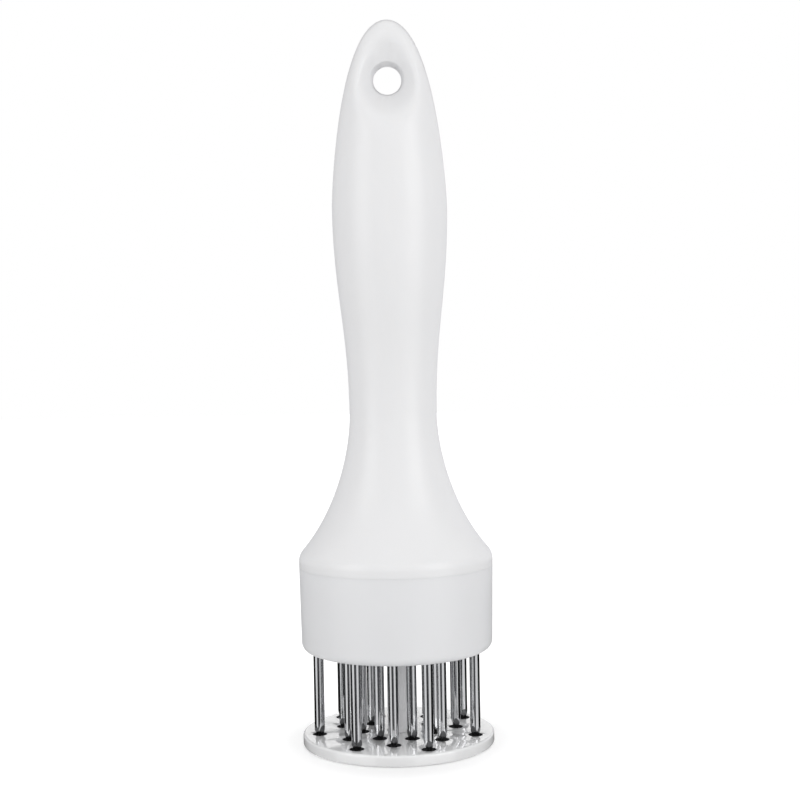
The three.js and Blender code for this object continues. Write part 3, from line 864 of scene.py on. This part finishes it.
needle = turned("needle", knots_of([
    (0, needle_low.z), (NEEDLE_RADIUS, needle_low.z), (NEEDLE_RADIUS, needle_high.z - HEAD_HEIGHT),
    (NEEDLE_RADIUS + HEAD_LIP, needle_high.z - HEAD_HEIGHT, HEAD_EDGE),
    (NEEDLE_RADIUS + HEAD_LIP, needle_high.z, HEAD_CROWN), (0, needle_high.z),
]), steps=4, sides=48)
bpy.ops.object.mode_set(mode="EDIT")
for quarter in range(4):
    around = math.radians(90 * quarter)
    bpy.ops.mesh.select_all(action="SELECT")
    bpy.ops.mesh.bisect(
        plane_co=(0, 0, needle_low.z),
        plane_no=(math.cos(around) * math.cos(POINT_ANGLE), math.sin(around) * math.cos(POINT_ANGLE),
                  -math.sin(POINT_ANGLE)),
        use_fill=True, clear_outer=True)
merge_doubles()
bpy.ops.object.mode_set(mode="OBJECT")
print(f"needle {(needle_high.z - needle_low.z) / MM:.1f} mm long")

# %% Copy it to each place
NEEDLE_TURNS = [
    12, 40, 25, 8, 15, 33, 70,
    3, 52, 28, 75, 36, 6, 10,
    60, 18, 47, 22, 41, 44, 5,
]
FLAT_LOWEST, FLAT_HIGHEST = -0.5, -0.1


def on_the_point(face):
    """Whether a face of a needle is one of the flats of its point, and not its head's underside."""
    return FLAT_LOWEST < face.normal.z < FLAT_HIGHEST


for name, place, twist in zip(needle_names, needle_places, NEEDLE_TURNS):
    copy = needle.copy()
    copy.data = needle.data.copy()
    bpy.context.scene.collection.objects.link(copy)
    copy.name = "steel_" + name
    copy.location = (place.x, place.y, 0)
    copy.rotation_euler = (0, 0, math.radians(twist))
    finish_piece(copy, "head", "needle_steel", needle_steel, name, sharp=20)
    # The flats of each point get the dark steel, which is painted shade.
    second_finish(copy, point_steel_painted_shade, on_the_point)
bpy.data.objects.remove(needle)

# %% [markdown]
# ## The guard's post and its screws
# A pale post carries the guard. It slides in the middle of the cup. One screw holds it to the plate from
# below, and another holds the washer that the spring pushes on. The ridges of a screw could be a true
# helix, but on shanks that nobody sees, plain rings in the outline do. The screws get a cross recess, cut
# by two crossed bars that narrow towards the bottom, as a driver's blades do.

# %% Turn the post
post_low, post_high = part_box("guard_post")
POST_ROUND = 0.3 * MM
SCREW_BORE_DEPTH = 12 * MM

post = turned("grey_post", knots_of([
    (0, post_low.z + SCREW_BORE_DEPTH), (SCREW_HOLE, post_low.z + SCREW_BORE_DEPTH),
    (SCREW_HOLE, post_low.z), (POST_RADIUS, post_low.z, POST_ROUND), (POST_RADIUS, post_high.z, POST_ROUND),
    (SCREW_HOLE, post_high.z), (SCREW_HOLE, post_high.z - SCREW_BORE_DEPTH),
    (0, post_high.z - SCREW_BORE_DEPTH),
]), steps=5, sides=64)
finish_piece(post, "guard", "grey_plastic", grey_plastic, "guard_post")

# %% Ridges and recess of a screw
SCREW_RADIUS = 1.4 * MM
THREAD_PITCH, THREAD_DEPTH = 0.8 * MM, 0.22 * MM
GROOVE_END, RIDGE_START, RIDGE_END = 0.35, 0.6, 0.72
RECESS_LENGTH, RECESS_WIDTH, RECESS_DEPTH = 2.8 * MM, 0.6 * MM, 0.8 * MM
RECESS_END_LENGTH, RECESS_END_WIDTH = 0.62, 0.7


def ridged_side(start, end):
    """The ridges of a screw's shank between two heights, as corners of its outline."""
    count = round(abs(end - start) / THREAD_PITCH)
    step = (end - start) / count
    groove = SCREW_RADIUS - THREAD_DEPTH
    corners = []
    for i in range(count):
        foot = start + i * step
        corners += [(groove, foot), (groove, foot + GROOVE_END * step),
                    (SCREW_RADIUS, foot + RIDGE_START * step), (SCREW_RADIUS, foot + RIDGE_END * step)]
    return corners


def cut_recess(piece, face, inward):
    """Cuts a cross recess into a face. Inward is 1 if the screw stands above its face, and -1 if below."""
    bars = []
    for quarter in (0, 90):
        bpy.ops.object.select_all(action="DESELECT")
        bpy.ops.mesh.primitive_cube_add(size=1, location=(0, 0, face))
        bar = bpy.context.object
        bar.scale = (RECESS_LENGTH, RECESS_WIDTH, 2 * RECESS_DEPTH)
        bar.rotation_euler = (0, 0, math.radians(quarter))
        for corner in bar.data.vertices:
            if corner.co.z * inward > 0:
                corner.co.x *= RECESS_END_LENGTH
                corner.co.y *= RECESS_END_WIDTH
        bars.append(bar)
    for bar in bars:
        cut_away(piece, bar)


print(f"ridges every {THREAD_PITCH / MM:.1f} mm")

# %% Turn the screws
SCREW_TIP, TIP_RADIUS = 1.2 * MM, SCREW_RADIUS * 0.8
SUNK_HEAD, SUNK_EDGE, RIDGES_START = 1.4 * MM, 0.15 * MM, 1.9 * MM
PAN_HEAD, PAN_EDGE, PAN_CROWN, PAN_RELIEF = 1.9 * MM, 0.1 * MM, 0.8 * MM, 0.4 * MM

screw_low, screw_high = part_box("guard_screw")
guard_screw = turned("plate_screw", knots_of([
    (0, screw_low.z), (screw_high.x, screw_low.z, SUNK_EDGE), (SCREW_RADIUS, screw_low.z + SUNK_HEAD),
    *ridged_side(screw_low.z + RIDGES_START, screw_high.z - SCREW_TIP),
    (TIP_RADIUS, screw_high.z - SCREW_TIP), (0, screw_high.z),
]), steps=4, sides=48)
cut_recess(guard_screw, screw_low.z, 1)
finish_piece(guard_screw, "guard", "plain_steel", plain_steel, "guard_screw")

screw_low, screw_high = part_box("stop_screw")
pan_bottom = screw_high.z - PAN_HEAD
stop_screw = turned("washer_screw", knots_of([
    (0, screw_low.z), (TIP_RADIUS, screw_low.z + SCREW_TIP),
    *ridged_side(screw_low.z + SCREW_TIP, pan_bottom - PAN_RELIEF),
    (SCREW_RADIUS - THREAD_DEPTH, pan_bottom), (screw_high.x, pan_bottom, PAN_EDGE),
    (screw_high.x, screw_high.z, PAN_CROWN), (0, screw_high.z),
]), steps=4, sides=48)
cut_recess(stop_screw, screw_high.z, -1)
finish_piece(stop_screw, "guard", "plain_steel", plain_steel, "stop_screw")

# %% [markdown]
# ## Washers and the needle plate
# These are stamped from sheet steel. The punch rolls one edge over and leaves the other one nearly sharp. A
# closed outline away from the axis turns into such a ring.

# %% Stamp the flat pieces
ROLLED_EDGE = 0.35 * MM
SHARP_EDGE = 0.08 * MM
SEAT_BORE = 5.5 * MM


def stamp(name, bore, node, body):
    """A flat ring where the solid is, with a rolled upper edge outside and in the bore."""
    low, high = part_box(node)
    ring = turned(name, knots_of([
        (bore, low.z, SHARP_EDGE), (high.x, low.z, SHARP_EDGE), (high.x, high.z, ROLLED_EDGE),
        (bore, high.z, ROLLED_EDGE),
    ]), steps=5, closed=True, sides=96)
    finish_piece(ring, body, "plain_steel", plain_steel, node)


stamp("pressed_plate", POST_RADIUS + POST_GAP, "needle_plate", "head")
stamp("seat_washer", SEAT_BORE, "spring_seat_washer", "head")
stamp("end_washer", SCREW_HOLE, "stop_washer", "guard")

# %% [markdown]
# ## The spring
# The spring is one wire wound eleven times. Its end turns lie close together, so that it stands square on
# its washers. A curve follows the middle of the wire, and its bevel gives the wire its thickness. When the
# guard goes in, the whole coil flattens towards its upper end, but here it is only wound, at rest.

# %% Wind the spring
WIRE_RADIUS = 0.6 * MM
SPRING_TURNS = 11
END_PITCH = 1.9 * MM
STEPS_PER_TURN = 24

spring_low, spring_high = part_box("spring")
coil_radius = spring_high.x - WIRE_RADIUS
wire_rise = spring_high.z - spring_low.z - 2 * WIRE_RADIUS
open_pitch = (wire_rise - 2 * END_PITCH) / (SPRING_TURNS - 2)

bpy.ops.object.select_all(action="DESELECT")
bpy.ops.curve.primitive_nurbs_path_add()
spring = bpy.context.object
spring.name = "coil_spring"
bpy.ops.object.mode_set(mode="EDIT")
bpy.ops.curve.select_all(action="SELECT")
bpy.ops.curve.spline_type_set(type="POLY")
bpy.ops.object.mode_set(mode="OBJECT")
wire = spring.data.splines[0]
wire.points.add(SPRING_TURNS * STEPS_PER_TURN + 1 - len(wire.points))
for i, point in enumerate(wire.points):
    turns = i / STEPS_PER_TURN
    open_turns = min(max(turns - 1, 0), SPRING_TURNS - 2)
    rise = END_PITCH * (turns - open_turns) + open_pitch * open_turns
    around = 2 * math.pi * turns
    point.co = (coil_radius * math.cos(around), coil_radius * math.sin(around),
                spring_low.z + WIRE_RADIUS + rise, 1)
spring.data.bevel_depth = WIRE_RADIUS
spring.data.bevel_resolution = 3
spring.data.use_fill_caps = True
bpy.ops.object.convert(target="MESH")
spring = bpy.context.object
finish_piece(spring, "head", "spring_steel", spring_steel, "spring", sharp=50)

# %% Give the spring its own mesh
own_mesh(spring)

# %% [markdown]
# ## The view transform
# The plain view transform shows each colour as it was mixed.

# %% Set the view transform
bpy.context.scene.view_settings.view_transform = "Standard"
